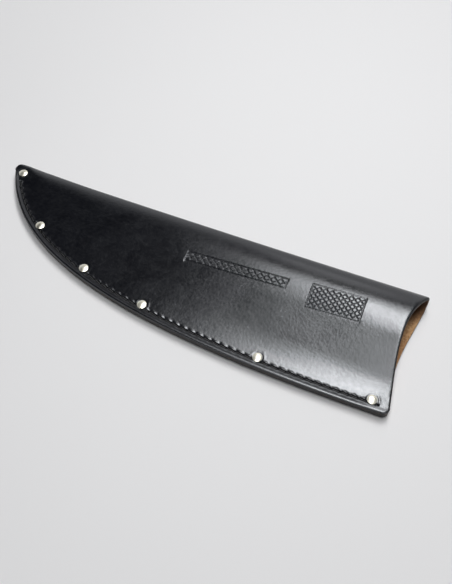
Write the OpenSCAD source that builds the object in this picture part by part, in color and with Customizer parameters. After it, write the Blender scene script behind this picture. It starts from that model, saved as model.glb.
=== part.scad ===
// Sheath for a large chef's knife: one leather sheet folded over the spine of the blade,
// closed along the belly by a welt, six tubular rivets and a lockstitched seam.
// Frame: X runs from the tip to the mouth, Y from the seam to the fold, and Z is up.
// The back panel lies on Z = 0, and the origin is below the middle of the sheath.
// In the functions, x is the distance from the tip and v the distance from the fold line.

/* [Outline] */
// Length from the tip to the mouth, along the fold
sheath_l = 299; // [240:1:360]
// Width from the fold to the seam edge, where it is widest
sheath_w = 85; // [70:0.5:100]
// Width at the mouth corner
mouth_w = 83.6; // [66:0.2:100]
// Distance from the tip to the widest place
widest_x = 240; // [180:1:280]
// Angle between the fold and the belly at the tip
tip_angle = 67.5; // [55:0.5:80]
// How strongly the belly keeps the tip's direction: length of its first handle
belly_pull = 65.5; // [50:0.5:80]
// How gently the belly runs out to the widest place: length of its second handle
belly_run = 140; // [110:0.5:160]
// Radius of the tip in plan
tip_r = 5.5; // [2:0.5:6]
// Radius of the corner between the seam and the mouth
corner_r = 4; // [2:0.5:8]

/* [Mouth cut] */
// Depth of the hollow cut across the front panel
front_cut = 8.6; // [3:0.1:12]
// Depth of the hollow cut across the back panel
back_cut = 5.2; // [3:0.1:8]
// How far the front corner stands behind the end of the fold
corner_back = 0; // [0:0.1:4]
// How far the welt and the back panel show past the front one at the corner
corner_step = 0.8; // [0:0.1:2]

/* [Leather] */
// Thickness of the sheet
leather_t = 2.4; // [2:0.1:3.2]
// Thickness of the welt
welt_t = 1.6; // [1.2:0.1:3]
// Width of the welt, from the seam edge inwards
welt_w = 11; // [9:0.5:14]
// Height of the folded sheath at the mouth
mouth_h = 17; // [13:0.5:24]
// How late the fold opens up: 1 is an even taper
fold_growth = 1.8; // [1:0.1:2.5]
// Distance from the fold to the crest of the front panel, towards the mouth
crest_w = 21; // [12:0.5:26]
// Distance from the tip at which the crest has come that far from the fold
crest_run = 200; // [120:5:260]
// Width of the flat pressed seam
seam_w = 8.5; // [8:0.25:12]
// Width of the bend where the back panel rises to the seam
rise_w = 16; // [8:1:24]
// Height of the seam over the table, which leaves room for the back rivet heads
seam_lift = 1.2; // [1.2:0.1:2]
// Length over which the fold comes down from the seam's height to the table
tip_rise = 60; // [30:5:90]

/* [Rivets] */
// Diameter of the rivet heads
head_d = 6; // [5:0.1:7]
// Height of the domed heads
head_h = 1; // [0.6:0.1:1.1]
// Height of the straight rim under the dome
rim_h = 0.3; // [0.2:0.05:0.5]
// Outer diameter of the hollow posts
post_d = 2.2; // [1.8:0.1:2.4]
// Diameter of the pins in the posts
pin_d = 1.6; // [1:0.1:1.7]
// Distance from the seam edge to the rivets
rivet_inset = 6; // [5.8:0.1:7]
// Distance along the fold from the tip to the first rivet
first_rivet_x = 8.2; // [7.5:0.1:14]
// Spacing between the first and the second rivet, along their line
rivet_pitch_first = 50.5; // [40:0.5:56]
// Spacing of the second, third and fourth rivet
rivet_pitch_tip = 48.5; // [40:0.5:56]
// Spacing between the fourth and the fifth rivet
rivet_pitch_mid = 81; // [60:1:90]
// Spacing between the fifth and the last rivet
rivet_pitch_mouth = 71; // [50:1:75]

/* [Stitching] */
// Distance from the seam edge to the stitches
stitch_inset = 4; // [3.5:0.1:4.2]
// Length of a stitch, rounded so that a whole number fits
stitch_pitch = 5.5; // [4:0.1:8]
// Thickness of the thread in the middle of a stitch
thread_d = 0.9; // [0.6:0.05:0.9]
// Thickness of the thread where it is drawn into a hole
thread_hole_d = 0.56; // [0.4:0.02:0.6]
// Width of the stitch groove
groove_w = 1.1; // [1.05:0.05:1.3]
// Depth of the stitch groove
groove_depth = 1; // [1:0.05:1.2]
// Diameter of the needle holes
needle_d = 1.4; // [1.3:0.05:1.5]
// How far a stitch slants across its line
stitch_slant = 0.15; // [0:0.05:0.18]

/* [Fits] */
// Gap between the welt and each panel
glue_gap = 0.05; // [0.02:0.01:0.1]
// Gap between a rivet head and the leather
seat_gap = 0.05; // [0.02:0.01:0.1]
// Gap round a post in its hole
post_gap = 0.05; // [0.02:0.01:0.1]
// Gap round a pin in its post
pin_gap = 0.02; // [0.01:0.01:0.05]
// Gap round the thread in its groove
thread_gap = 0.05; // [0.02:0.01:0.1]

/* [Hidden] */
$fn = 48;
rivet_count = 6;
cap_names = [for (i = [1:rivet_count]) str("rivet_cap_", i)];
post_names = [for (i = [1:rivet_count]) str("rivet_post_", i)];
leather_colour = [0.08, 0.08, 0.10];
welt_colour = [0.72, 0.52, 0.33];
nickel_colour = [0.86, 0.85, 0.82];
thread_colour = [0.03, 0.03, 0.03];

// Heights of the seam's layers over the table
seam_h = 2 * leather_t + welt_t;
seam_bottom = seam_lift;
seam_top = seam_lift + seam_h;
seam_middle = seam_lift + seam_h / 2;

// Steps that set how fine the faceted shapes are
belly_steps = 44;
run_steps = 12;
corner_steps = 6;
mouth_steps = 16;
fold_steps = 12;
slope_steps = 8;
station_steps = 26;
groove_steps = 80;
thread_sides = 6;
// Steps grow from the tip, where the shape turns fastest
belly_growth = 1.2;
station_growth = 1.4;
// Outline points closer than this to a rounding are left out
point_clear = 0.5;
// How far back the seam edge's direction is taken for the mouth corner
look_back = 10;
// Least width of the slope beside the fold, and the largest share of it that the back's bend takes
least_slope = 1;
rise_share = 0.9;
// How fast the crest draws away from the fold, and the largest share of the plain width that it takes
crest_growth = 0.3;
crest_share = 0.45;
// How far the untrimmed sheet and the cutters reach past the outline
trim = 4;

function lerp(a, b, t) = a + (b - a) * t;
function clamp01(t) = max(0, min(1, t));
function unit(p) = p / norm(p);
function left_of(p) = [-p[1], p[0]];
function bezier(c, t) =
    pow(1 - t, 3) * c[0] + 3 * pow(1 - t, 2) * t * c[1] + 3 * (1 - t) * t * t * c[2] + t * t * t * c[3];
// Ramp from 0 to 1 with eased ends and a straight middle
ease = 0.3;
function ramp(q) =
    let (m = 1 / (1 - ease), u = clamp01(q))
    u < ease ? m * u * u / (2 * ease)
    : u < 1 - ease ? m * (u - ease / 2)
    : 1 - m * pow(1 - u, 2) / (2 * ease);

// Seam edge in plan: a belly curve, then a shallow arc to the mouth corner
tip_dir = [cos(tip_angle), sin(tip_angle)];
tip_reach = tip_r / tan(tip_angle / 2);
tip_corner = [tip_r - tip_reach, 0];
belly = [tip_corner, tip_corner + belly_pull * tip_dir, [widest_x - belly_run, sheath_w],
    [widest_x, sheath_w]];
function run_v(x) = sheath_w - (sheath_w - mouth_w) * pow((x - widest_x) / (sheath_l - widest_x), 2);
belly_pts = [for (i = [0:belly_steps]) bezier(belly, pow(i / belly_steps, belly_growth))];
function seam_edge(x_end) =
    concat(belly_pts, [for (i = [1:run_steps]) let (x = lerp(widest_x, x_end, i / run_steps)) [x, run_v(x)]]);

// Rounding between the lines a-b and b-c
function corner_arc(a, b, c, r) =
    let (
        u = unit(a - b),
        w = unit(c - b),
        half = acos(u * w) / 2,
        centre = b + unit(u + w) * r / sin(half),
        from = b + u * r / tan(half) - centre,
        to = b + w * r / tan(half) - centre,
        sweep = 180 - 2 * half,
        side = from[0] * to[1] - from[1] * to[0] > 0 ? 1 : -1
    )
    [for (i = [0:corner_steps]) let (q = side * sweep * i / corner_steps)
        centre + [from[0] * cos(q) - from[1] * sin(q), from[0] * sin(q) + from[1] * cos(q)]];
function corner_reach(a, b, c, r) = r / tan(acos(unit(a - b) * unit(c - b)) / 2);

tip_arc = corner_arc(tip_corner + [1, 0], tip_corner, tip_corner + tip_dir, tip_r);

// Mouth cut of one panel, from the fold to the corner: each pull is a share of the depth and of the width
function mouth_curve(depth, pull_1, pull_2, corner_x) = [
    [sheath_l, 0],
    [sheath_l - depth * pull_1[0], sheath_w * pull_1[1]],
    [sheath_l - depth * pull_2[0], sheath_w * pull_2[1]],
    [corner_x, mouth_w]
];
front_corner_x = sheath_l - corner_back;
back_corner_x = front_corner_x + corner_step;
front_mouth = mouth_curve(front_cut, [1.81, 0.32], [0.53, 0.62], front_corner_x);
back_mouth = mouth_curve(back_cut, [0.3, 0.3], [2.2, 0.59], back_corner_x);

// Plan outline of one panel: round the tip, along the seam edge, round the corner and back along the mouth
function panel_outline(mouth) =
    let (
        corner = mouth[3],
        before = [corner[0] - look_back, run_v(corner[0] - look_back)],
        reach = corner_reach(before, corner, mouth[2], corner_r),
        edge = [for (p = seam_edge(corner[0]))
            if (norm(p - tip_corner) > tip_reach + point_clear && norm(p - corner) > reach + point_clear) p],
        cut = [for (i = [mouth_steps:-1:0]) bezier(mouth, i / mouth_steps)]
    )
    concat(
        [[sheath_l, -trim], [tip_arc[0][0], -trim]],
        tip_arc,
        edge,
        corner_arc(before, corner, mouth[2], corner_r),
        [for (p = cut) if (norm(p - corner) > reach + point_clear) p]
    );

// Line at one distance inside the seam edge, and the lengths along it
function inset_line(d) =
    let (e = seam_edge(front_corner_x), n = len(e))
    [for (i = [0:n - 1])
        let (t = unit(e[min(i + 1, n - 1)] - e[max(i - 1, 0)]), p = e[i] - left_of(t) * d)
        if (p[1] > 0) p];
function lengths(pts) =
    let (steps = [for (i = [0:len(pts) - 2]) norm(pts[i + 1] - pts[i])])
    [for (i = 0, s = 0; i < len(pts); s = s + (i < len(steps) ? steps[i] : 0), i = i + 1) s];
function at_length(pts, sums, s, i = 0) =
    i > len(pts) - 3 || sums[i + 1] >= s
    ? lerp(pts[i], pts[i + 1], (s - sums[i]) / (sums[i + 1] - sums[i]))
    : at_length(pts, sums, s, i + 1);
function length_at_x(pts, sums, x, i = 0) =
    i > len(pts) - 3 || pts[i + 1][0] >= x
    ? lerp(sums[i], sums[i + 1], (x - pts[i][0]) / (pts[i + 1][0] - pts[i][0]))
    : length_at_x(pts, sums, x, i + 1);

// Rivets along their own line
rivet_line = inset_line(rivet_inset);
rivet_sums = lengths(rivet_line);
rivet_start = length_at_x(rivet_line, rivet_sums, first_rivet_x);
rivet_steps = [0, 1, 1, 1, 1, 1] * rivet_pitch_first + [0, 0, 1, 2, 2, 2] * rivet_pitch_tip
    + [0, 0, 0, 0, 1, 1] * rivet_pitch_mid + [0, 0, 0, 0, 0, 1] * rivet_pitch_mouth;
rivets = [for (s = rivet_steps) at_length(rivet_line, rivet_sums, rivet_start + s)];

// Needle holes, from just after the first rivet to just past the last one
stitch_line = inset_line(stitch_inset);
stitch_sums = lengths(stitch_line);
rivet_side = (head_d + needle_d) / 2;
stitch_from = length_at_x(stitch_line, stitch_sums, rivets[0][0]) + rivet_side;
stitch_to = length_at_x(stitch_line, stitch_sums, rivets[rivet_count - 1][0]) + rivet_side;
stitch_count = round((stitch_to - stitch_from) / stitch_pitch);
needle_holes = [for (i = [0:stitch_count])
    at_length(stitch_line, stitch_sums, lerp(stitch_from, stitch_to, i / stitch_count))];

// Height of the fold, and of its underside, at a distance from the tip
function fold_h(x) = seam_h + (mouth_h - seam_h) * pow(clamp01(x / sheath_l), fold_growth);
function fold_bottom(x) = seam_lift * (1 - ramp((x - tip_r) / tip_rise));
// Distance from the fold to the crest of the front panel; the front falls from the crest to slope_end
function crest_v(x, slope_end) =
    max(fold_h(x) / 2, min(crest_w * pow(clamp01(x / crest_run), crest_growth), crest_share * slope_end));
// Width of the sheath at a distance from the tip, and how aslant the edge crosses the section there
function edge_at(x, pts, i = 0) =
    i > len(pts) - 3 || pts[i + 1][0] >= x
    ? let (step = pts[i + 1] - pts[i])
        [pts[i][1] + step[1] * (x - pts[i][0]) / step[0], norm(step) / step[0]]
    : edge_at(x, pts, i + 1);

// One face of the folded sheet across the sheath: along the front, round the fold and back to the seam
function sheet_face(x, v_edge, aslant, inset) =
    let (
        r = fold_h(x) / 2,
        low = fold_bottom(x),
        top = low + 2 * r,
        vs = max(v_edge - seam_w * aslant, r + least_slope),
        crest = crest_v(x, vs),
        flat_end = vs - min(rise_w, rise_share * (vs - r)),
        v_out = max(v_edge, vs) + trim,
        front = [for (i = [0:slope_steps]) let (q = i / slope_steps)
            [lerp(vs, crest, q), lerp(seam_top, top, ramp(q)) - inset]],
        fold = [for (i = [1:fold_steps - 1]) let (a = 180 * i / fold_steps, reach = a < 90 ? crest : r)
            [reach - (reach - inset) * sin(a), low + r + (r - inset) * cos(a)]],
        back = [for (i = [0:slope_steps]) let (q = i / slope_steps)
            [lerp(flat_end, vs, q), lerp(low, seam_bottom, ramp(q)) + inset]]
    )
    concat(
        [[v_out, seam_top - inset]],
        front,
        fold,
        [[r, low + inset]],
        back,
        [[v_out, seam_bottom + inset]]
    );

// From distances along and across the sheath to the frame of the part
function in_plan(p) = [p[0] - sheath_l / 2, sheath_w / 2 - p[1]];
function in_space(p, z) = [p[0] - sheath_l / 2, sheath_w / 2 - p[1], z];
function strip_between(a, b) = concat(a, [for (i = [len(b) - 1:-1:0]) b[i]]);

// Side faces of a solid through rings of points
function ring_sides(rings) =
    let (n = len(rings[0]))
    [for (k = [0:len(rings) - 2]) for (i = [0:n - 1])
        let (a = k * n + i, b = k * n + (i + 1) % n) each [[a, b, b + n], [a, b + n, a + n]]];

// The folded sheet before it is trimmed
module untrimmed_sheet() {
    edge = seam_edge(back_corner_x);
    stations = [for (i = [0:station_steps])
        lerp(-trim, sheath_l + trim, pow(i / station_steps, station_growth))];
    rings = [for (x = stations)
        let (
            e = edge_at(x, edge),
            outside = sheet_face(x, e[0], e[1], 0),
            inside = sheet_face(x, e[0], e[1], leather_t)
        )
        [for (p = strip_between(outside, inside)) in_space([x, p[0]], p[1])]];
    n = len(rings[0]);
    base = (len(rings) - 1) * n;
    tip_end = [for (i = [0:n / 2 - 2]) each [[i + 1, i, n - 1 - i], [i + 1, n - 1 - i, n - 2 - i]]];
    mouth_end = [for (f = tip_end) [base + f[2], base + f[1], base + f[0]]];
    polyhedron([for (r = rings) each r], concat(ring_sides(rings), tip_end, mouth_end));
}

// Upright block with a panel's outline
module panel_block(mouth) {
    translate([0, 0, -trim])
        linear_extrude(mouth_h + 2 * trim)
            polygon([for (p = panel_outline(mouth)) in_plan(p)]);
}

// Everything above or below the middle of the folded sheet
module half_space(up) {
    tilt = atan((mouth_h / 2 - seam_middle) / sheath_w);
    translate([-sheath_l, sheath_w / 2, mouth_h / 2])
        rotate([tilt, 0, 0])
            translate([0, -2 * sheath_w, up ? 0 : -2 * mouth_h])
                cube([2 * sheath_l, 3 * sheath_w, 2 * mouth_h]);
}

// Channel that the seam's thread lies in
module stitch_groove(z, depth) {
    centre = [for (i = [0:groove_steps])
        at_length(stitch_line, stitch_sums,
            lerp(stitch_from - needle_d, stitch_to + needle_d, i / groove_steps))];
    side = [for (i = [0:groove_steps])
        left_of(unit(centre[min(i + 1, groove_steps)] - centre[max(i - 1, 0)])) * groove_w / 2];
    translate([0, 0, z])
        linear_extrude(depth)
            polygon([for (p = strip_between(centre + side, centre - side)) in_plan(p)]);
}

module at_points(points, z) {
    for (p = points) translate(in_space(p, z)) children();
}

// Needle and rivet holes through every layer of the seam
module seam_holes() {
    at_points(needle_holes, 0) cylinder(d = needle_d, h = mouth_h);
    at_points(rivets, 0) cylinder(d = post_d + 2 * post_gap, h = mouth_h);
}

module sheath_body() {
    color(leather_colour)
    difference() {
        intersection() {
            untrimmed_sheet();
            union() {
                intersection() {
                    panel_block(front_mouth);
                    half_space(true);
                }
                intersection() {
                    panel_block(back_mouth);
                    half_space(false);
                }
            }
        }
        stitch_groove(seam_top - groove_depth, mouth_h);
        stitch_groove(seam_bottom + groove_depth - mouth_h, mouth_h);
        seam_holes();
    }
}

module welt() {
    color(welt_colour)
    difference() {
        translate([0, 0, seam_bottom + leather_t + glue_gap])
            linear_extrude(welt_t - 2 * glue_gap)
                intersection() {
                    polygon([for (p = panel_outline(back_mouth)) in_plan(p)]);
                    polygon([for (p = strip_between(seam_edge(sheath_l + trim), inset_line(welt_w)))
                        in_plan(p)]);
                    translate([-sheath_l, -2 * sheath_w + sheath_w / 2 - seam_h / 2])
                        square([2 * sheath_l, 2 * sheath_w]);
                }
        seam_holes();
    }
}

// Domed head on the plane Z = 0
module rivet_head() {
    dome_r = (pow(head_d / 2, 2) + pow(head_h - rim_h, 2)) / (2 * (head_h - rim_h));
    intersection() {
        cylinder(d = head_d, h = head_h);
        translate([0, 0, head_h - dome_r]) sphere(dome_r, $fn = 128);
    }
}

// Front half of a rivet: a domed head with a solid pin
module rivet_cap(i) {
    pin_l = seam_h - leather_t / 2;
    color(nickel_colour)
    translate(in_space(rivets[i], seam_top + seat_gap)) {
        rivet_head();
        translate([0, 0, -pin_l]) cylinder(d = pin_d, h = pin_l);
    }
}

// Back half of a rivet: a domed head with the hollow post that takes the pin
module rivet_post(i) {
    color(nickel_colour)
    translate(in_space(rivets[i], seam_bottom - seat_gap)) {
        mirror([0, 0, 1]) rivet_head();
        difference() {
            cylinder(d = post_d, h = seam_h + seat_gap);
            cylinder(d = pin_d + 2 * pin_gap, h = seam_h + 1);
        }
    }
}

// Ring of the thread: along is the way it runs in plan, and turn how steeply it climbs there
function thread_ring(centre, z, along, turn, width, height) =
    [for (k = [0:thread_sides - 1])
        let (
            a = 360 * k / thread_sides,
            side = width / 2 * cos(a),
            rise = height / 2 * sin(a),
            p = centre + left_of(along) * side - along * rise * sin(turn)
        )
        in_space(p, z + rise * cos(turn))];

// Thread on the front face: it comes up at each hole, crosses to the next
// and goes down to the middle of the seam
module seam_thread() {
    leg = needle_d / 2 - thread_gap - thread_hole_d / 2;
    floor_z = seam_top - groove_depth + thread_gap;
    low = seam_middle + thread_gap + thread_hole_d / 2;
    bend_z = floor_z + thread_hole_d / 2;
    crown_z = floor_z + thread_d / 2;
    bend_h = thread_hole_d * sqrt(2);
    rings = [for (i = [0:stitch_count - 1])
        let (
            a = needle_holes[i],
            b = needle_holes[i + 1],
            along = unit(b - a),
            slant = -left_of(along) * stitch_slant,
            first = i == 0,
            last = i == stitch_count - 1,
            first_h = first ? thread_hole_d : bend_h,
            last_h = last ? thread_hole_d : bend_h
        )
        each [
            thread_ring(a + along * leg, low, along, first ? 90 : 45, thread_hole_d, first_h),
            thread_ring(a + along * leg + slant, bend_z, along, 45, thread_hole_d, bend_h),
            thread_ring((a + b) / 2, crown_z, along, 0, thread_d, thread_d),
            thread_ring(b - along * leg - slant, bend_z, along, -45, thread_hole_d, bend_h),
            thread_ring(b - along * leg, low, along, last ? -90 : -45, thread_hole_d, last_h)
        ]];
    n = thread_sides;
    base = (len(rings) - 1) * n;
    polyhedron(
        [for (r = rings) each r],
        concat(ring_sides(rings), [[for (i = [n - 1:-1:0]) i]], [[for (i = [0:n - 1]) base + i]])
    );
}

module front_thread() {
    color(thread_colour) seam_thread();
}

module back_thread() {
    color(thread_colour)
    translate([0, 0, 2 * seam_middle]) mirror([0, 0, 1]) seam_thread();
}

sheath_body();
welt();
front_thread();
back_thread();
for (i = [0:rivet_count - 1]) {
    rivet_cap(i);
    rivet_post(i);
}
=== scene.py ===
import math

import bmesh
import bpy
import numpy as np
from mathutils import Matrix, Vector


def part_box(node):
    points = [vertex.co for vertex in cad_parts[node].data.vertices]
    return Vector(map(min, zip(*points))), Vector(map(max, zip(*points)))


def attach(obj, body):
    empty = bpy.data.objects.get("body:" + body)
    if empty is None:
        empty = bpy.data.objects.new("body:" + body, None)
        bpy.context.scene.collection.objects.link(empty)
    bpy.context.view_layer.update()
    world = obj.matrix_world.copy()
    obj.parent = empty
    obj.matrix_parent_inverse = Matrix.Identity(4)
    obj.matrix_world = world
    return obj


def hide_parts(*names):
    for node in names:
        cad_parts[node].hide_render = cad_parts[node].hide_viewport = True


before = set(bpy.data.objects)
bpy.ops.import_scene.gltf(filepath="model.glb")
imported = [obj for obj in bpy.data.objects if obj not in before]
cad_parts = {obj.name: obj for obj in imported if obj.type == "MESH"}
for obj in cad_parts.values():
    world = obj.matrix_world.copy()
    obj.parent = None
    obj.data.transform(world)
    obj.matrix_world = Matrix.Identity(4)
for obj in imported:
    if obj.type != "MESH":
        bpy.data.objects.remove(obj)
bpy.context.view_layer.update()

# A folded leather sheath for a chef's knife. The sheet and both threads are built here with the
# surface work that the solids leave out. The welt and the rivets are the frame's own nodes with
# better materials.
#
# Shapes are worked out in millimetres: x from the tip, v from the fold line, z up from the surface
# that the sheath lies on. row_frame() turns them into the frame's metres.
MM = 0.001
TINY = 1e-6

# Outline: length, greatest width and where it is, and the width at the mouth
LENGTH, WIDTH, WIDEST, MOUTH_WIDTH = 299.0, 85.0, 240.0, 83.6
# Tip: the belly's angle to the fold, the radius of the corner, and how far each end of the belly
# curve runs straight on
TIP_ANGLE, TIP_R, BELLY_PULL, BELLY_RUN = math.radians(67.5), 5.5, 65.5, 140.0
# Mouth: the radius of its corner, and how far the back panel stands out past the front one there
CORNER_R, CORNER_STEP = 4.0, 0.8
# Mouth edge of each panel: its depth, and its curve's two pulls, in shares of depth and of WIDTH
FRONT_MOUTH = (8.6, (1.81, 0.32), (0.53, 0.62))
BACK_MOUTH = (5.2, (0.3, 0.3), (2.2, 0.59))
# Section: the leather, the upper and lower face of the pressed seam, and the width of the seam
THICK, SEAM_TOP, SEAM_BOTTOM, SEAM_WIDTH = 2.4, 7.6, 1.2, 8.5
# Back panel: over what width it rises to the seam and the greatest share of its width for that,
# and over what length the tip rises
RISE_WIDTH, RISE_SHARE, TIP_RISE = 16.0, 0.9, 60.0
# Fold: its height at the tip and at the mouth, and the power by which it grows
FOLD_TIP, FOLD_MOUTH, FOLD_GROWTH = 6.4, 17.0, 1.8
# Crest of the front panel: its distance from the fold, the length over which that grows and the
# power, and the greatest share of the width up to the seam
CREST_WIDTH, CREST_RUN, CREST_GROWTH, CREST_SHARE = 21.0, 200.0, 0.3, 0.45
# Stitches: their distance from the seam edge, their length, and the first hole's from its rivet
STITCH_INSET, STITCH_PITCH, NEEDLE_SIDE = 4.0, 5.5, 3.7
RIVETS = 6


def row_frame(points):
    """x, v, z in millimetres to the row frame in metres."""
    return np.column_stack(
        [points[:, 0] - LENGTH / 2, WIDTH / 2 - points[:, 1], points[:, 2]]
    ) * MM


def new_piece(name, data):
    piece = bpy.data.objects.new(name, data)
    bpy.context.scene.collection.objects.link(piece)
    return piece


# ---------------------------------------------------------------- plan curves


def unit(p):
    return p / np.linalg.norm(p, axis=-1, keepdims=True)


def left_of(p):
    return np.stack([-p[..., 1], p[..., 0]], -1)


def bezier(c, t):
    c, t = np.array(c, float), t[:, None]
    start, end = (1 - t) ** 3 * c[0], t**3 * c[3]
    return start + 3 * (1 - t) ** 2 * t * c[1] + 3 * (1 - t) * t * t * c[2] + end


def lengths(line):
    """How far along a line each of its points is."""
    return np.concatenate([[0], np.cumsum(np.linalg.norm(np.diff(line, axis=0), axis=1))])


def along(line, s):
    """Points of a line at the distances s from its start."""
    run = lengths(line)
    return np.column_stack([np.interp(s, run, line[:, k]) for k in range(line.shape[1])])


def arc_corner(a, b, c, r, n):
    """Rounding of radius r between the lines a-b and b-c, as n + 1 points."""
    u, w = unit(a - b), unit(c - b)
    half = math.acos(float(u @ w)) / 2
    centre = b + unit(u + w) * r / math.sin(half)
    start, end = b + u * r / math.tan(half) - centre, b + w * r / math.tan(half) - centre
    sweep = math.pi - 2 * half
    q = np.linspace(0, 1, n + 1)[:, None]
    return centre + (np.sin((1 - q) * sweep) * start + np.sin(q * sweep) * end) / math.sin(sweep)


def ease(t):
    """0 to 1 with a soft start and end."""
    t = np.clip(t, 0, 1)
    return t * t * (3 - 2 * t)


def ramp(q, bend=0.3):
    """0 to 1 in a straight line with a parabola of width bend at each end, as in the solid."""
    u, m = np.clip(q, 0, 1), 1 / (1 - bend)
    rising, ending = m * u * u / (2 * bend), 1 - m * (1 - u) ** 2 / (2 * bend)
    return np.where(u < bend, rising, np.where(u < 1 - bend, m * (u - bend / 2), ending))


def run_v(x):
    """Distance of the seam edge from the fold between its widest place and the mouth."""
    return WIDTH - (WIDTH - MOUTH_WIDTH) * ((x - WIDEST) / (LENGTH - WIDEST)) ** 2


# Points of the belly curve and the power by which they are closer at the tip
BELLY_POINTS, BELLY_CLOSER = 400, 1.2
# Points of the straighter run after it and how far past the mouth it goes, and of a mouth edge
RUN_POINTS, RUN_PAST, MOUTH_POINTS = 60, 5, 160
# Steps of the rounded corners at the tip and the mouth, and how far before the mouth's corner the
# seam edge gives the corner its direction
TIP_STEPS, CORNER_STEPS, CORNER_BEFORE = 40, 16, 10
# How far the other points of a line stay clear of the tip's and of the mouth's corner
TIP_CLEAR, CORNER_CLEAR = 0.5, 0.3

tip_way = np.array([math.cos(TIP_ANGLE), math.sin(TIP_ANGLE)])
tip_reach = TIP_R / math.tan(TIP_ANGLE / 2)
tip_corner = np.array([TIP_R - tip_reach, 0.0])
belly_pulls = [tip_corner + BELLY_PULL * tip_way, (WIDEST - BELLY_RUN, WIDTH)]
belly_places = np.linspace(0, 1, BELLY_POINTS) ** BELLY_CLOSER
belly = bezier([tip_corner, *belly_pulls, (WIDEST, WIDTH)], belly_places)
run_x = np.linspace(WIDEST, LENGTH + RUN_PAST, RUN_POINTS)[1:]
edge = np.vstack([belly, np.column_stack([run_x, run_v(run_x)])])
edge_way = unit(np.gradient(edge, axis=0))
tip_arc = arc_corner(tip_corner + [1.0, 0.0], tip_corner, tip_corner + tip_way, TIP_R, TIP_STEPS)


def panel_lines(depth, pull_1, pull_2, corner_x):
    """Seam edge and mouth edge of one panel; they meet in the middle of the mouth corner."""
    pulls = [[LENGTH - depth * p[0], WIDTH * p[1]] for p in (pull_1, pull_2)]
    mouth = np.array([[LENGTH, 0], *pulls, [corner_x, MOUTH_WIDTH]])
    corner = mouth[3]
    before = np.array([corner_x - CORNER_BEFORE, run_v(corner_x - CORNER_BEFORE)])
    arc, half = arc_corner(before, corner, mouth[2], CORNER_R, CORNER_STEPS), CORNER_STEPS // 2
    reach = np.linalg.norm(arc[0] - corner) + CORNER_CLEAR
    far = np.linalg.norm(edge - tip_corner, axis=1) > tip_reach + TIP_CLEAR
    far &= (edge[:, 0] < corner_x) & (np.linalg.norm(edge - corner, axis=1) > reach)
    cut = bezier(mouth, np.linspace(0, 1, MOUTH_POINTS))
    cut = cut[np.linalg.norm(cut - corner, axis=1) > reach]
    seam = np.vstack([tip_arc, edge[far], arc[: half + 1]])
    return seam, np.vstack([cut, arc[: half - 1 : -1]])


front_seam, front_cut = panel_lines(*FRONT_MOUTH, LENGTH)
back_seam, back_cut = panel_lines(*BACK_MOUTH, LENGTH + CORNER_STEP)

# Rivets are where the frame has them, and the needle holes follow from the first and the last
rivets = []
for i in range(1, RIVETS + 1):
    low, high = (np.array(c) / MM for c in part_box(f"rivet_cap_{i}"))
    middle = (low + high) / 2
    rivets.append([middle[0] + LENGTH / 2, WIDTH / 2 - middle[1]])
rivets = np.array(rivets)
inset = edge - left_of(edge_way) * STITCH_INSET
inset = inset[(inset[:, 1] > 0) & (edge[:, 0] <= LENGTH)]
end_rivets = np.interp(rivets[[0, -1], 0], inset[:, 0], lengths(inset))
stitch_from, stitch_to = end_rivets + NEEDLE_SIDE
stitches = round((stitch_to - stitch_from) / STITCH_PITCH)
pitch = (stitch_to - stitch_from) / stitches
holes = along(inset, np.linspace(stitch_from, stitch_to, stitches + 1))


def nearest(points, line, at_once=3000):
    """For each point its distance from a line, how far along the line it is, and its signed
    distance to the line's right."""
    a, d, run = line[:-1], np.diff(line, axis=0), lengths(line)
    squared, step = (d * d).sum(1), np.diff(run)
    found = []
    for p in np.array_split(points, len(points) // at_once + 1):
        rel = p[:, None] - a
        t = np.clip((rel * d).sum(2) / squared, 0, 1)
        off = rel - t[..., None] * d
        k = (off * off).sum(2).argmin(1)
        i = np.arange(len(p))
        gap = off[i, k]
        side = d[k, 1] * gap[:, 0] - d[k, 0] * gap[:, 1]
        dist = np.linalg.norm(gap, axis=1)
        found.append(np.column_stack([dist, run[k] + t[i, k] * step[k], np.sign(side) * dist]))
    return np.vstack(found).T


# ------------------------------------------------------------ form of the sheet


def section(x, front):
    """Half the fold's height, where the fold ends, and where the pressed seam begins."""
    growth = np.clip(x / LENGTH, 0, 1) ** FOLD_GROWTH
    r = (FOLD_TIP + (FOLD_MOUTH - FOLD_TIP) * growth) / 2
    width = np.interp(x, edge[:, 0], edge[:, 1])
    aslant = np.interp(x, edge[:, 0], 1 / edge_way[:, 0])
    slope_end = np.maximum(width - SEAM_WIDTH * aslant, r + 1)
    crest = CREST_WIDTH * np.clip(x / CREST_RUN, 0, 1) ** CREST_GROWTH
    crest = np.minimum(crest, CREST_SHARE * slope_end)
    return r, np.maximum(r, crest) if front else r, slope_end


def sheet_point(x, v, lift, front, widest_v=None):
    """Point of the folded sheet: lift is measured outwards from its outer face."""
    r, fold_end, slope_end = section(x, front)
    low = SEAM_BOTTOM * (1 - ramp((x - TIP_R) / TIP_RISE))
    if front:
        fall = ramp((slope_end - v) / (slope_end - fold_end))
        z = SEAM_TOP + (low + 2 * r - SEAM_TOP) * fall + lift
    else:
        flat_end = slope_end - np.minimum(RISE_WIDTH, RISE_SHARE * (slope_end - r))
        rise = ramp((v - flat_end) / (slope_end - flat_end))
        z = low + (SEAM_BOTTOM - low) * rise - lift
    turn = np.clip((fold_end - v) / fold_end, 0, 1)
    bent = (r + lift) * np.sqrt(1 - turn**2)
    folded = v < fold_end
    out_v = np.where(folded, fold_end - (fold_end + lift) * turn, v)
    z = np.where(folded, low + r + (bent if front else -bent), z)
    if widest_v is not None:
        out_v = np.minimum(out_v, widest_v)
    return np.column_stack([x, out_v, z])


# ------------------------------------------------------- surface of the leather

# Radii of the rubbed edges along the seam, along the mouth outside and along the mouth inside
SEAM_EDGE_R, MOUTH_EDGE_R, LINING_EDGE_R = 0.7, 1.1, 0.35
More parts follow.
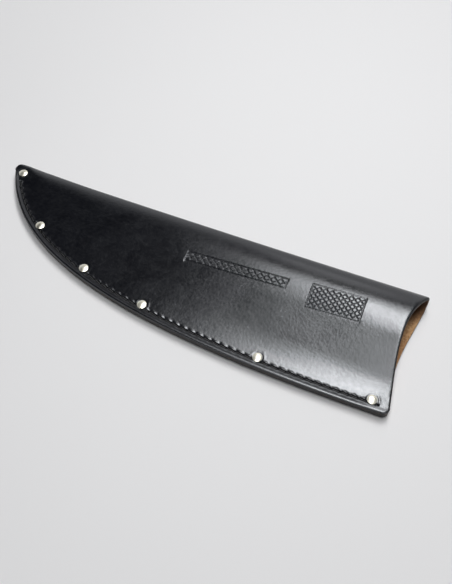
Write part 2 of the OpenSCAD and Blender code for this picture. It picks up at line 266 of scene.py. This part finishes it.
# Sloping rim: its width, the width and depth of its slope, and at each end of the seam how much is
# left without it and over what length it fades
RIM_WIDTH, RIM_SLOPE, RIM_DROP = 3.1, 1.5, 0.5
RIM_TIP, RIM_MOUTH = (9, 12), (5, 14)
# Crease line in the rim: its distance from the seam edge, its half width and its depth
CREASE_AT, CREASE_HALF, CREASE_DEPTH = 1.6, 0.22, 0.16
# Stitch groove: its depth at a hole, how much less that is between two holes, half its floor and
# the width of a wall
GROOVE_DEPTH, GROOVE_LESS, GROOVE_HALF, GROOVE_WALL = 1.15, 0.4, 0.48, 0.45
# How far it slants in a stitch and how steeply that begins at a hole, and its reach past the last
# hole and fade there in shares of a stitch
GROOVE_SLANT, SLANT_STEEP, GROOVE_END, GROOVE_FADE = 0.55, 6, 0.22, 0.17
# Dip at a needle hole: its depth and radius
HOLE_DEPTH, HOLE_R = 0.5, 0.62
# Puckers beside the groove, toward the fold and toward the edge: height, distance and half width
PUCKER_IN, PUCKER_OUT = (0.31, 1.2, 0.65), (0.12, 1.0, 0.42)
# How they swell in the middle of a stitch, by what power, and sink at the holes
PUCKER_SWELL, PUCKER_POWER, PUCKER_SINK = 1.5, 0.7, 0.6
# Their share near the tip, the distance up to which they have it, and over what length they grow
PUCKER_LEAST, PUCKER_GROWS = 0.6, (115, 60)
# Leather at a rivet: the raised ring and the pressed seat, as height, distance and half width,
# and where the puckers begin to be free of it
RIVET_RING, RIVET_SEAT, RIVET_CLEAR = (0.09, 4.1, 0.75), (0.16, 3.15, 0.3), (3.0, 0.8)
# Slow waves: their height, and from where they grow and over what width, off the edge and the fold
WAVE, WAVE_EDGE, WAVE_FOLD = 0.05, (10, 14), (6, 12)


def bell(t):
    return np.exp(-t * t)


def ridge(distance, form):
    """A rounded ridge, given as its height, how far off it runs and its half width."""
    height, at, half = form
    return height * bell((distance - at) / half)


def shoulder(d, r):
    """How far a rounded edge of radius r has dropped at a distance d from it."""
    return r - np.sqrt(np.maximum(r * r - np.maximum(r - d, 0) ** 2, 0))


def past(distance, start_and_length):
    """0 up to the start and 1 after the length."""
    start, length = start_and_length
    return ease((distance - start) / length)


def rim_drop(d, run, whole):
    """Depth of the sloping rim and its crease at a distance d from the seam edge."""
    there = past(run, RIM_TIP) * past(whole - run, RIM_MOUTH)
    slope = RIM_DROP * ease((RIM_WIDTH - d) / RIM_SLOPE)
    return there * (slope + ridge(d, (CREASE_DEPTH, CREASE_AT, CREASE_HALF)))


def seam_lift(x, p, rivet):
    """Height of the puckers less the depth of the stitch groove and its needle holes."""
    _, run, off = nearest(p, inset)
    phase = (run - stitch_from) / pitch
    share = phase - np.floor(phase)
    before, after = phase + GROOVE_END, stitches + GROOVE_END - phase
    sewn = ease(before / GROOVE_FADE) * ease(after / GROOVE_FADE)
    slanted = np.clip(SLANT_STEEP * np.minimum(share, 1 - share), 0, 1)
    lean = off - GROOVE_SLANT * (0.5 - share) * slanted
    swell = 0.5 - 0.5 * np.cos(2 * np.pi * phase)
    hole = np.hypot(off, (phase - np.round(phase)) * pitch)
    walls = 1 - ease((np.abs(lean) - GROOVE_HALF) / GROOVE_WALL)
    groove = (GROOVE_DEPTH - GROOVE_LESS * swell) * walls
    pucker = np.where(lean > 0, ridge(lean, PUCKER_IN), ridge(-lean, PUCKER_OUT))
    pucker *= PUCKER_SWELL * np.maximum(swell, TINY) ** PUCKER_POWER - PUCKER_SINK
    pucker *= PUCKER_LEAST + (1 - PUCKER_LEAST) * past(x, PUCKER_GROWS)
    return sewn * (past(rivet, RIVET_CLEAR) * pucker - groove - HOLE_DEPTH * bell(hole / HOLE_R))


def slow_waves(x, v, d, front):
    """Slow waves of the panels; those of the back only go in, as it lies on the surface."""
    wave = np.sin(x / 21 + v / 33) * np.cos(v / 12.5 - x / 47) + 0.5 * np.sin(x / 9.1 - v / 14)
    return WAVE * past(d, WAVE_EDGE) * past(v, WAVE_FOLD) * (wave if front else wave - 1.5)


def relief(x, v, seam, cut, front):
    """Height of the worked leather above its plain face."""
    p = np.column_stack([x, v])
    d, run, _ = nearest(p, seam)
    up = -np.maximum(shoulder(d, SEAM_EDGE_R), shoulder(nearest(p, cut)[0], MOUTH_EDGE_R))
    up -= rim_drop(d, run, lengths(seam)[-1])
    rivet = np.min(np.hypot(x[:, None] - rivets[:, 0], v[:, None] - rivets[:, 1]), axis=1)
    up += seam_lift(x, p, rivet)
    up += ridge(rivet, RIVET_RING) * past(rivet, RIVET_CLEAR) - ridge(rivet, RIVET_SEAT)
    return up + slow_waves(x, v, d, front)


# Stamped ornament: for each framed field its middle, half length, half height and line spacing
STAMPS = (((180, 27.4), 34.5, 3.9, 4.6), ((247, 28), 17.5, 9.0, 4.1))
# Its turn to the fold line, its depth, the width of a groove's wall and how steeply lines cross
STAMP_TURN, STAMP_DEPTH, STAMP_WALL, STAMP_CROSS = math.radians(-2.4), 0.42, 0.3, 1.15
# Frame line and field lines: the width of each, and how far inside the border each begins
FRAME_LINE, FRAME_IN, FIELD_LINE, FIELD_IN = 0.8, 0.5, 0.75, 1.7
# How far outside the border the finer mesh goes
STAMP_MESH = 1.3


def band(distance, width):
    """1 inside a stamped line of that width, falling to 0 beside it."""
    return 1 - ease((distance - width / 2) / STAMP_WALL + 0.5)


def tooled(x, v):
    """Depth of the stamped ornament, and where its finer mesh goes."""
    depth = np.zeros(len(x))
    inside = np.zeros(len(x), bool)
    cos, sin = math.cos(STAMP_TURN), math.sin(STAMP_TURN)
    for (middle_x, middle_v), half_l, half_h, step in STAMPS:
        a = (x - middle_x) * cos + (v - middle_v) * sin
        b = (v - middle_v) * cos - (x - middle_x) * sin
        box = np.maximum(np.abs(a) - half_l, np.abs(b) - half_h)
        inside |= box < STAMP_MESH
        lines = band(np.abs(box + FRAME_IN), FRAME_LINE)
        field = 1 - ease((box + FIELD_IN) / STAMP_WALL)
        for way in (a + b * STAMP_CROSS, a - b * STAMP_CROSS):
            off = np.abs(way / step - np.round(way / step)) * step
            lines = np.maximum(lines, field * band(off, FIELD_LINE))
        depth = np.maximum(depth, STAMP_DEPTH * lines)
    return depth, inside


# ----------------------------------------------------------- mesh of the sheet

# Rows of points run from the fold to the seam edge: close at the fold, even over the panel, and
# at these distances from the edge, so that the groove, the rim and the crease get their forms
FOLD_ROWS = 1 - np.cos(np.linspace(0, math.pi / 2, 18))
MIDDLE_ROWS = np.linspace(0, 1, 27)[1:-1]
SEAM_ROWS = np.array(
    [9.6, 8.7, 7.9, 7.2, 6.6, 6.1, 5.7, 5.4, 5.15, 4.95, 4.78, 4.62, 4.45, 4.25, 4.0, 3.75, 3.55]
    + [3.38, 3.22, 3.05, 2.85, 2.55, 2.25, 2.0, 1.8, 1.62, 1.45, 1.28, 1.08, 0.85, 0.6, 0.38]
    + [0.2, 0.07, 0]
)
PLAIN_ROWS = len(FOLD_ROWS) + len(MIDDLE_ROWS)
# The rim's material lies between the rows at RIM_WIDTH and at LIP_WIDTH from the edge
LIP_WIDTH = 1.3
RIM_ROW, LIP_ROW = (PLAIN_ROWS + int(np.argmax(SEAM_ROWS < d)) for d in (RIM_WIDTH, LIP_WIDTH))
# Columns are even along the seam edge up to a distance from its end, and then lie at given ones,
# close at the mouth. The plain rows use only every third of the even columns.
COLUMNS, WIDE_STEP, LAST_COLUMN = 721, 3, 1.25
MOUTH_COLUMNS = np.array([0.9, 0.65, 0.45, 0.28, 0.15, 0.05, 0])
WIDE = np.arange(0, COLUMNS, WIDE_STEP)
WIDE = np.append(WIDE, np.arange(COLUMNS, COLUMNS + len(MOUTH_COLUMNS)))
# Share of the even spacing in where the columns start on the fold, the least sine of a column's
# angle to the seam edge, and the greatest shares of a column for the seam rows and the fold rows
FOLD_EVEN, LEAST_SINE, SEAM_SHARE, FOLD_SHARE = 0.15, 0.3, 0.45, 0.5
# The back's skin has every second row of the seam, and the lining has every second row of the
# fold and the panel and every sixth of the seam
BACK_SEAM_STEP, LINING_STEP, LINING_SEAM_STEP = 2, 2, 6
# Cuts of the stamped mesh across the sheath and along it, for edges over a length in millimetres
STAMP_CUTS, STAMP_LONG = ((True, 7), (False, 5)), 0.8
# Distances in metres under which points are joined and faces are dropped, and the sharp angle
JOIN, DROP, SHARP = 1e-6, 1e-7, math.radians(55)
# Materials by their place in the sheet's list; STAMPED is grain once its mesh is cut
GRAIN, FLESH, CUT, RIM, STAMPED = range(5)


def panel_grid(seam, cut, front):
    """Plan points of a panel in columns from fold to seam edge, the last one along the mouth."""
    whole = lengths(seam)[-1]
    s = np.concatenate([np.linspace(0, whole - LAST_COLUMN, COLUMNS), whole - MOUTH_COLUMNS])
    outer, a = along(seam, s), s / whole
    reach = np.clip((outer[:, 0] - TIP_R) / (outer[-1, 0] - TIP_R), 0, 1)
    reach = FOLD_EVEN * a + (1 - FOLD_EVEN) * np.maximum.accumulate(reach)
    fold_x = TIP_R + (LENGTH - TIP_R) * reach
    column = outer - np.column_stack([fold_x, np.zeros(len(s))])
    span = np.maximum(np.linalg.norm(column, axis=1), TINY)
    way = unit(np.gradient(outer, axis=0))
    sine = np.abs(column[:, 0] * way[:, 1] - column[:, 1] * way[:, 0]) / span
    scale = np.minimum(1 / np.maximum(sine, LEAST_SINE) / span, SEAM_SHARE / SEAM_ROWS[0])
    share = section(fold_x, front)[1] / np.maximum(outer[:, 1], TINY)
    share = np.minimum(share, FOLD_SHARE)
    near, far = share[:, None] * FOLD_ROWS, 1 - scale[:, None] * SEAM_ROWS
    between = near[:, -1:] + (far[:, :1] - near[:, -1:]) * MIDDLE_ROWS
    b = np.hstack([near, between, far])
    straight = fold_x[:, None] * (1 - b) + outer[:, :1] * b
    end = np.interp(b * outer[-1, 1], cut[:, 1], cut[:, 0])
    x = straight + a[:, None] ** 3 * (end - (fold_x[-1] * (1 - b) + outer[-1, 0] * b))
    return x, b * outer[:, 1:]


def panel_skins(seam, cut, front):
    """Outer and inner points of a panel, at the places of its grid that the mesh uses."""
    x, v = panel_grid(seam, cut, front)
    used = np.zeros(x.shape, bool)
    used[WIDE] = used[:, PLAIN_ROWS:] = True
    widest_v = np.repeat(v[:, -1:], v.shape[1], 1)[used]
    flat_x, flat_v = x[used], v[used]
    mouth_gap = nearest(np.column_stack([flat_x, flat_v]), cut)[0]
    skins = []
    outer_lift = relief(flat_x, flat_v, seam, cut, front)
    for lift in (outer_lift, shoulder(mouth_gap, LINING_EDGE_R) - THICK):
        skin = np.zeros((*x.shape, 3))
        skin[used] = sheet_point(flat_x, flat_v, lift, front, widest_v)
        skins.append(skin)
    return skins


def ring(long_side, short_side):
    """A face between two runs of points, of which the second may have fewer."""
    return [*long_side, *reversed(short_side)]


def add_panel(bm, outside, inside, front):
    """Faces of one panel: its outer skin, its lining, and the cut edge along seam and mouth. The
    last close columns of the skin belong to the mouth's cut edge."""
    n, m = outside.shape[:2]
    rows = [*range(0, PLAIN_ROWS, LINING_STEP)]
    rows += [*range(PLAIN_ROWS + LINING_STEP, m - 1, LINING_SEAM_STEP), m - 1]
    seam_rows = [*range(PLAIN_ROWS, m, 1 if front else BACK_SEAM_STEP)]
    skin_rows = [*range(PLAIN_ROWS), *seam_rows]
    wide_set = set(WIDE.tolist())

    def corners(grid, i, js):
        return {j: bm.verts.new(row_frame(grid[i, j : j + 1])[0]) for j in js}

    def add_face(points, kind):
        bm.faces.new(points).material_index = kind

    skin = [corners(outside, i, skin_rows if i in wide_set else seam_rows) for i in range(n)]
    lining = {i: corners(inside, i, rows if i < n - 1 else skin_rows) for i in WIDE}
    for i, far in zip(WIDE, WIDE[1:]):
        for j, k in zip(skin_rows[:PLAIN_ROWS], skin_rows[1:]):
            between = range(i, far + 1) if k == PLAIN_ROWS else (i, far)
            middle = (outside[i, j] + outside[far, k]) / 2
            stamped = front and tooled(middle[:1], middle[1:2])[1][0]
            kind = CUT if i > COLUMNS else STAMPED if stamped else GRAIN
            add_face(ring([skin[q][k] for q in between], [skin[i][j], skin[far][j]]), kind)
        for j, k in zip(rows, rows[1:]):
            end = [q for q in skin_rows if j <= q <= k] if far == n - 1 else (j, k)
            add_face(ring([lining[far][q] for q in end], [lining[i][j], lining[i][k]]), FLESH)
        edge_run = [skin[q][m - 1] for q in range(i, far + 1)]
        add_face(ring(edge_run, [lining[i][m - 1], lining[far][m - 1]]), CUT)
    for i in range(n - 1):
        for j, k in zip(seam_rows, seam_rows[1:]):
            kind = CUT if i > COLUMNS else RIM if RIM_ROW <= k < LIP_ROW else GRAIN
            add_face((skin[i][j], skin[i + 1][j], skin[i + 1][k], skin[i][k]), kind)
    for j, k in zip(skin_rows, skin_rows[1:]):
        add_face((skin[-1][j], skin[-1][k], lining[n - 1][k], lining[n - 1][j]), CUT)


def stamp(bm):
    """Give the stamped places a finer mesh, and work out their heights again on it."""
    for across, cuts in STAMP_CUTS:
        edges = []
        for e in bm.edges:
            inner = e.link_faces and all(f.material_index == STAMPED for f in e.link_faces)
            span = e.verts[0].co - e.verts[1].co
            this_way = (abs(span.y) > abs(span.x)) == across
            if inner and this_way and span.length > STAMP_LONG * MM:
                edges.append(e)
        bmesh.ops.subdivide_edges(bm, edges=edges, cuts=cuts, use_grid_fill=True)
    verts = [v for v in bm.verts if any(f.material_index == STAMPED for f in v.link_faces)]
    x = np.array([v.co.x / MM + LENGTH / 2 for v in verts])
    y = np.array([WIDTH / 2 - v.co.y / MM for v in verts])
    lift = relief(x, y, front_seam, front_cut, True) - tooled(x, y)[0]
    for vert, p in zip(verts, row_frame(sheet_point(x, y, lift, True))):
        vert.co = p


def make_sheath():
    """The whole folded sheet; its two panels share the points along the fold line."""
    panels = [panel_skins(front_seam, front_cut, True), panel_skins(back_seam, back_cut, False)]
    for front_skin, back_skin in zip(*panels):
        front_skin[:, 0] = back_skin[:, 0] = (front_skin[:, 0] + back_skin[:, 0]) / 2

    bm = bmesh.new()
    for (outside, inside), front in zip(panels, (True, False)):
        add_panel(bm, outside, inside, front)
    bmesh.ops.remove_doubles(bm, verts=bm.verts, dist=JOIN)
    bmesh.ops.dissolve_degenerate(bm, edges=bm.edges, dist=DROP)
    stamp(bm)
    for f in bm.faces:
        f.smooth = True
        if f.material_index == STAMPED:
            f.material_index = GRAIN
    bmesh.ops.recalc_face_normals(bm, faces=bm.faces)
    mesh = bpy.data.meshes.new("leather_sheath")
    bm.to_mesh(mesh)
    bm.free()
    mesh.set_sharp_from_angle(angle=SHARP)
    return new_piece("leather_sheath", mesh)


# --------------------------------------------------------------------- thread

# Points along a stitch and round it, and the thread's radius in the middle of a stitch and how
# much thinner it gets in a hole
STITCH_RINGS, THREAD_SIDES, THREAD_R, THREAD_THINS = 22, 10, 0.5, 0.18
# Height of a stitch in its groove, of the thread's lower end in a hole, and of the seam's middle
THREAD_CROWN, THREAD_LOW, SEAM_MIDDLE = 7.0, 4.75, (SEAM_TOP + SEAM_BOTTOM) / 2
# Powers by which it dives into a hole and thins there
DIVE_POWER, THIN_POWER = 8, 5
# Where a stitch starts and how far it runs, in shares of its length, and the power of its bend
STITCH_START, STITCH_RUN, STITCH_BEND = 0.06, 0.88, 1.35
# Slant of a stitch across its line, and the spread of its place by chance
THREAD_SLANT, THREAD_CHANCE = 0.27, 0.03
# The two plies: the length over which they turn once, their mean reach and how much it changes
PLY_TURN, PLY_MEAN, PLY_CHANGE = 2.3, 0.93, 0.13
rng = np.random.default_rng(7)


def make_thread(name, front):
    """One waxed two-ply thread: up at each needle hole, aslant across to the next and down to the
    middle of the seam."""
    u = np.linspace(0, 1, STITCH_RINGS)
    dive = np.abs(2 * u - 1)
    points, radii, lefts = [], [], []
    for a, b in zip(holes, holes[1:]):
        left = left_of(unit(b - a))
        bend = np.sign(0.5 - u) * (1 - (1 - dive) ** STITCH_BEND)
        step = STITCH_START + STITCH_RUN * (0.5 - 0.5 * bend)
        chance = rng.normal(0, THREAD_CHANCE, 2)
        aside = (2 * u - 1) * THREAD_SLANT + chance[0]
        plan = a + (b - a) * step[:, None] + left * aside[:, None]
        z = THREAD_CROWN + chance[1] - (THREAD_CROWN - THREAD_LOW) * dive**DIVE_POWER
        points.append(np.column_stack([plan, z if front else 2 * SEAM_MIDDLE - z]))
        radii.append(THREAD_R - THREAD_THINS * dive**THIN_POWER)
        lefts.append(np.tile(np.append(left, 0), (STITCH_RINGS, 1)))
    points, radii, lefts = np.vstack(points), np.concatenate(radii), np.vstack(lefts)
    ahead = unit(np.gradient(points, axis=0))
    lefts = unit(lefts - ahead * (lefts * ahead).sum(1)[:, None])
    ups = np.cross(ahead, lefts)
    angle = np.linspace(0, 2 * np.pi, THREAD_SIDES, endpoint=False)
    plies = np.cos(2 * (angle - lengths(points)[:, None] * 2 * np.pi / PLY_TURN))
    reach = radii[:, None] * (PLY_MEAN + PLY_CHANGE * plies)
    tube = points[:, None] + reach[..., None] * (
        np.cos(angle)[:, None] * lefts[:, None] + np.sin(angle)[:, None] * ups[:, None]
    )
    rings = np.arange(tube.shape[0] * THREAD_SIDES).reshape(-1, THREAD_SIDES)
    turned = np.roll(rings, -1, axis=1)
    faces = np.stack([rings[:-1], turned[:-1], turned[1:], rings[1:]], -1).reshape(-1, 4).tolist()
    faces += [rings[0, ::-1].tolist(), rings[-1].tolist()]
    mesh = bpy.data.meshes.new(name)
    mesh.from_pydata(row_frame(tube.reshape(-1, 3)).tolist(), [], faces)
    bm = bmesh.new()
    bm.from_mesh(mesh)
    bmesh.ops.recalc_face_normals(bm, faces=bm.faces)
    bm.to_mesh(mesh)
    bm.free()
    mesh.shade_smooth()
    return new_piece(name, mesh)


# ------------------------------------------------------------------ materials

# Places of the colour sockets in a mix node: both inputs and the output
MIX_A, MIX_B, MIX_COLOUR = 6, 7, 2


class Nodes:
    """A node tree, with short calls to add nodes and join them."""

    def __init__(self, tree):
        self.nodes, self.links = tree.nodes, tree.links

    def add(self, kind, inputs=None, **settings):
        node = self.nodes.new(kind)
        for key, value in settings.items():
            setattr(node, key, value)
        for key, value in (inputs or {}).items():
            self.put(node.inputs[key], value)
        return node

    def put(self, socket, value):
        if isinstance(value, bpy.types.NodeSocket):
            self.links.new(value, socket)
        else:
            socket.default_value = value

    def spread(self, value, low, high, to_low=0.0, to_high=1.0):
        names = {"Value": value, "From Min": low, "From Max": high}
        names |= {"To Min": to_low, "To Max": to_high}
        return self.add("ShaderNodeMapRange", names).outputs[0]

    def math(self, operation, a, b):
        return self.add("ShaderNodeMath", {0: a, 1: b}, operation=operation).outputs[0]


class Material(Nodes):
    """A new material's nodes; textures are placed by the object's own coordinates."""

    def __init__(self, name):
        self.material = bpy.data.materials.new(name)
        self.material.use_nodes = True
        super().__init__(self.material.node_tree)
        self.shader = self.nodes["Principled BSDF"]
        self.place = self.add("ShaderNodeTexCoord").outputs["Object"]

    def set(self, **values):
        for key, value in values.items():
            self.put(self.shader.inputs[key.replace("_", " ")], value)

    def noise(self, scale, detail=3.0, rough=0.5, stretch=None, distortion=0.0):
        spot = self.place
        if stretch:
            spot = self.add("ShaderNodeMapping", {"Vector": spot, "Scale": stretch}).outputs[0]
        values = {"Vector": spot, "Scale": scale, "Detail": detail}
        values |= {"Roughness": rough, "Distortion": distortion}
        return self.add("ShaderNodeTexNoise", values).outputs["Fac"]

    def cells(self, scale):
        values = {"Vector": self.place, "Scale": scale}
        return self.add("ShaderNodeTexVoronoi", values, feature="SMOOTH_F1").outputs["Distance"]

    def mix(self, factor, a, b):
        node = self.add("ShaderNodeMix", {"Factor": factor}, data_type="RGBA")
        for socket, value in ((node.inputs[MIX_A], a), (node.inputs[MIX_B], b)):
            self.put(socket, value if isinstance(value, bpy.types.NodeSocket) else (*value, 1))
        return node.outputs[MIX_COLOUR]

    def bump(self, height, distance, strength, after=None):
        values = {"Height": height, "Distance": distance, "Strength": strength}
        if after is not None:
            values["Normal"] = after
        return self.add("ShaderNodeBump", values).outputs[0]


def grain_leather(name, low, high, rubbed, least_rough, bumps):
    """Smooth waxed leather, dyed black: faint wrinkles, fine grain and a patchy sheen."""
    t = Material(name)
    patch = t.noise(45, 4, 0.6)
    fine = t.noise(420, 3, 0.6)
    colour = t.mix(t.spread(patch, 0.25, 0.75), low, high)
    colour = t.mix(t.spread(fine, 0.5, 0.75, 0, 0.4), colour, rubbed)
    broad = t.spread(patch, 0.2, 0.8, least_rough - 0.01, least_rough + 0.06)
    cloud = t.math("ADD", broad, t.spread(t.noise(120, 3), 0.2, 0.8, -0.015, 0.025))
    rough = t.math("ADD", cloud, t.spread(fine, 0.3, 0.7, -0.02, 0.03))
    wrinkle = t.bump(t.noise(150, 3, 0.55, (1, 1.5, 1), 0.4), 0.0001, bumps[0])
    grain = t.bump(t.cells(640), 0.0001, bumps[1], wrinkle)
    normal = t.bump(t.noise(1300, 2, 0.5), 0.00003, bumps[2], grain)
    t.set(Base_Color=colour, Roughness=rough, Normal=normal)
    t.set(Specular_IOR_Level=0.8, Specular_Tint=(0.94, 0.965, 1.0, 1))
    return t.material


def flesh_leather():
    """Undyed flesh side: tan suede with a short nap, with painted shade darkening it toward the
    fold.
    """
    t = Material("tan_suede")
    blotch, nap = t.noise(70, 4, 0.6), t.noise(520, 4, 0.75)
    colour = t.mix(t.spread(blotch, 0.3, 0.7), (0.26, 0.125, 0.05), (0.44, 0.26, 0.12))
    colour = t.mix(t.spread(nap, 0.5, 0.7, 0, 0.6), colour, (0.6, 0.41, 0.24))
    colour = t.mix(t.spread(nap, 0.5, 0.34, 0, 0.7), colour, (0.12, 0.05, 0.02))
    # Painted shade: toward the fold (higher Y) the colour goes over into near black, standing in
    # for the shade deep inside the mouth
    across = t.add("ShaderNodeSeparateXYZ", {0: t.place}).outputs["Y"]
    colour = t.mix(t.spread(across, 0.022, 0.041), colour, (0.06, 0.026, 0.012))
    normal = t.bump(nap, 0.00025, 0.6)
    t.set(Base_Color=colour, Roughness=t.spread(nap, 0.3, 0.7, 0.82, 0.96), Normal=normal)
    t.set(Sheen_Weight=0.2, Sheen_Roughness=0.5, Sheen_Tint=(0.9, 0.75, 0.55, 1))
    return t.material


def cut_edge(name, tan_inside=False):
    """Cut edge of the leather, dyed black and burnished; tan_inside leaves it undyed where it
    faces away from the seam edge."""
    t = Material(name)
    layers = t.noise(700, 3, 0.6, (0.25, 0.25, 2.2))
    blotch = t.noise(240, 3)
    colour = t.mix(t.spread(blotch, 0.3, 0.7), (0.0035, 0.0034, 0.004), (0.009, 0.0085, 0.009))
    rough = t.spread(layers, 0.3, 0.7, 0.36, 0.52)
    if tan_inside:
        facing = t.add("ShaderNodeTexCoord").outputs["Normal"]
        side = t.add("ShaderNodeSeparateXYZ", {0: facing})
        out = t.math("MINIMUM", side.outputs[0], side.outputs[1])
        raw = t.spread(out, -0.3, -0.15)
        tan = t.mix(t.spread(t.noise(120, 4), 0.3, 0.7), (0.33, 0.2, 0.1), (0.55, 0.39, 0.23))
        colour = t.mix(raw, colour, tan)
        rough = t.math("ADD", rough, t.spread(raw, 0, 1, 0, 0.45))
    normal = t.bump(layers, 0.00012, 0.5)
    t.set(Base_Color=colour, Roughness=rough, Normal=normal, Specular_IOR_Level=0.3)
    return t.material


def bright_nickel():
    """Nickel plate, polished and a little handled."""
    t = Material("bright_nickel")
    smear, scratch = t.noise(260, 4, 0.6), t.noise(900, 2, 0.5, (0.12, 1.6, 1))
    colour = t.mix(t.spread(smear, 0.3, 0.7), (0.74, 0.71, 0.6), (0.88, 0.86, 0.76))
    rough = t.spread(smear, 0.3, 0.7, 0.3, 0.42)
    rough = t.math("ADD", rough, t.spread(scratch, 0.5, 0.8, 0, 0.12))
    normal = t.bump(scratch, 0.00002, 0.35)
    t.set(Base_Color=colour, Metallic=1.0, Roughness=rough, Normal=normal)
    return t.material


def waxed_thread():
    """Black waxed linen thread."""
    t = Material("waxed_thread")
    fibre = t.noise(2600, 3, 0.65, (1, 1, 0.6))
    wax = t.noise(300, 3)
    colour = t.mix(t.spread(wax, 0.3, 0.7), (0.006, 0.006, 0.007), (0.016, 0.016, 0.018))
    rough = t.spread(wax, 0.3, 0.7, 0.42, 0.6)
    t.set(Base_Color=colour, Roughness=rough, Normal=t.bump(fibre, 0.00005, 0.6))
    return t.material


# --------------------------------------------------------------------- pieces

grain = grain_leather(
    "black_grain_leather",
    low=(0.001, 0.0013, 0.003),
    high=(0.0028, 0.0033, 0.0056),
    rubbed=(0.007, 0.0074, 0.0095),
    least_rough=0.19,
    bumps=(0.3, 0.28, 0.3),
)
rim = grain_leather(
    "rubbed_rim_leather",
    low=(0.006, 0.0064, 0.0085),
    high=(0.0145, 0.015, 0.018),
    rubbed=(0.03, 0.031, 0.035),
    least_rough=0.32,
    bumps=(0.5, 0.5, 0.5),
)
by_index = {GRAIN: grain, FLESH: flesh_leather(), CUT: cut_edge("burnished_edge"), RIM: rim}
sheath = make_sheath()
for index in sorted(by_index):
    sheath.data.materials.append(by_index[index])
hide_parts("sheath_body")
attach(sheath, "root")

thread_material = waxed_thread()
for side in ("front", "back"):
    thread = make_thread(f"{side}_stitching", side == "front")
    thread.data.materials.append(thread_material)
    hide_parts(f"{side}_thread")
    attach(thread, "root")

nickel, welt_material = bright_nickel(), cut_edge("welt_leather", tan_inside=True)
for name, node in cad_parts.items():
    if name == "welt" or name.startswith("rivet"):
        for entry in node.material_slots:
            entry.link = "OBJECT"
            entry.material = welt_material if name == "welt" else nickel

# ---------------------------------------------------------------------- stage

PALE = (0.8, 0.8, 0.81, 1)
DARK = (0.012, 0.012, 0.012, 1)
# Heights on the sky's unit sphere between which the reflected walls go over into the ceiling
CEILING = (0.42, 0.68)
# Half the floor's side, and from where to where it goes over into the surroundings, in metres
FLOOR_HALF, FLOOR_FADE = 4, (0.22, 0.8)
# Soft boxes 1 m off: degrees from the back toward the mouth and above the floor, the length of a
# side in metres, and the brightness
LIGHTS = (
    ("key_1", 24, 71, 0.24, 9.5),
    ("key_2", 6, 62, 0.24, 9.5),
    ("key_3", 60, 71, 0.24, 4.0),
    ("key_4", 6, 71, 0.24, 2.8),
    ("key_5", 6, 54, 0.24, 1.9),
    ("key_6", 42, 80, 0.24, 3.0),
    ("left_1", -12, 54, 0.24, 3.9),
    ("left_2", -12, 62, 0.24, 2.5),
    ("left_3", -12, 71, 0.24, 1.2),
    ("back", -5, 33, 0.24, 1.0),
    ("front_fill", 165, 76, 0.4, 6.5),
)
for name, from_back, above_floor, size, brightness in LIGHTS:
    lamp = bpy.data.lights.new(name, "AREA")
    lamp.shape = "RECTANGLE"
    lamp.size = lamp.size_y = size
    lamp.energy = brightness * math.pi * size * size
    light = new_piece(name, lamp)
    turn, rise = math.radians(from_back), math.radians(above_floor)
    out = Vector(
        (math.sin(turn) * math.cos(rise), math.cos(turn) * math.cos(rise), math.sin(rise))
    )
    light.location = out
    light.rotation_euler = (-out).to_track_quat("-Z", "Y").to_euler()

# Pale surroundings for the camera, and for reflections up to a studio's dark ceiling
world = bpy.data.worlds.new("studio")
bpy.context.scene.world = world
world.use_nodes = True
sky = Nodes(world.node_tree)
ray = sky.add("ShaderNodeLightPath").outputs
generated = sky.add("ShaderNodeTexCoord").outputs["Generated"]
height = sky.add("ShaderNodeSeparateXYZ", {0: generated}).outputs["Z"]
mirrored = sky.math("MULTIPLY", ray["Is Glossy Ray"], sky.spread(height, *CEILING, 1.0, 0.0))
seen = sky.math("MAXIMUM", ray["Is Camera Ray"], ray["Is Transmission Ray"])
shown = sky.math("MAXIMUM", seen, mirrored)
dim = sky.add("ShaderNodeBackground", {"Color": DARK}).outputs[0]
pale = sky.add("ShaderNodeBackground", {"Color": PALE}).outputs[0]
choice = sky.add("ShaderNodeMixShader", {0: shown, 1: dim, 2: pale}).outputs[0]
sky.put(sky.nodes["World Output"].inputs["Surface"], choice)

# Pale floor, which goes over into the surroundings away from the sheath
floor_mesh = bpy.data.meshes.new("floor")
turns = ((-1, -1), (1, -1), (1, 1), (-1, 1))
floor_corners = [(x * FLOOR_HALF, y * FLOOR_HALF, 0) for x, y in turns]
floor_mesh.from_pydata(floor_corners, [], [(0, 1, 2, 3)])
floor = new_piece("floor", floor_mesh)
paper = Material("pale_floor")
paper.set(Base_Color=PALE, Roughness=0.75)
away = paper.add("ShaderNodeVectorMath", {0: paper.place}, operation="LENGTH").outputs["Value"]
ray = paper.add("ShaderNodeLightPath").outputs
looked_at = paper.math("MAXIMUM", ray["Is Camera Ray"], ray["Is Glossy Ray"])
far = paper.math("MULTIPLY", paper.spread(away, *FLOOR_FADE), looked_at)
glow = paper.add("ShaderNodeEmission", {"Color": PALE}).outputs[0]
blend = paper.add("ShaderNodeMixShader", {0: far, 1: paper.shader.outputs[0], 2: glow})
paper.put(paper.nodes["Material Output"].inputs["Surface"], blend.outputs[0])
floor.data.materials.append(paper.material)

# Camera at the photograph's angle: its place in millimetres, its turn, tilt and roll in degrees,
# and its lens and sensor width
CAMERA_PLACE, CAMERA_ANGLES = (143.841, -225.769, 407.308), (-26.723, 57.847, -3.365)
LENS, SENSOR = 46.236, 36
turn, tilt, roll = (math.radians(q) for q in CAMERA_ANGLES)
ahead = Vector(
    (math.sin(turn) * math.cos(tilt), math.cos(turn) * math.cos(tilt), -math.sin(tilt))
)
level = Vector((math.cos(turn), -math.sin(turn), 0))
above = level.cross(ahead)
right = level * math.cos(roll) + above * math.sin(roll)
up = above * math.cos(roll) - level * math.sin(roll)
camera = new_piece("camera", bpy.data.cameras.new("camera"))
camera.data.lens, camera.data.sensor_width = LENS, SENSOR
place = Matrix((right, up, -ahead)).transposed().to_4x4()
place.translation = Vector(CAMERA_PLACE) * MM
camera.matrix_world = place
bpy.context.scene.camera = camera
bpy.context.scene.view_settings.view_transform = "Standard"
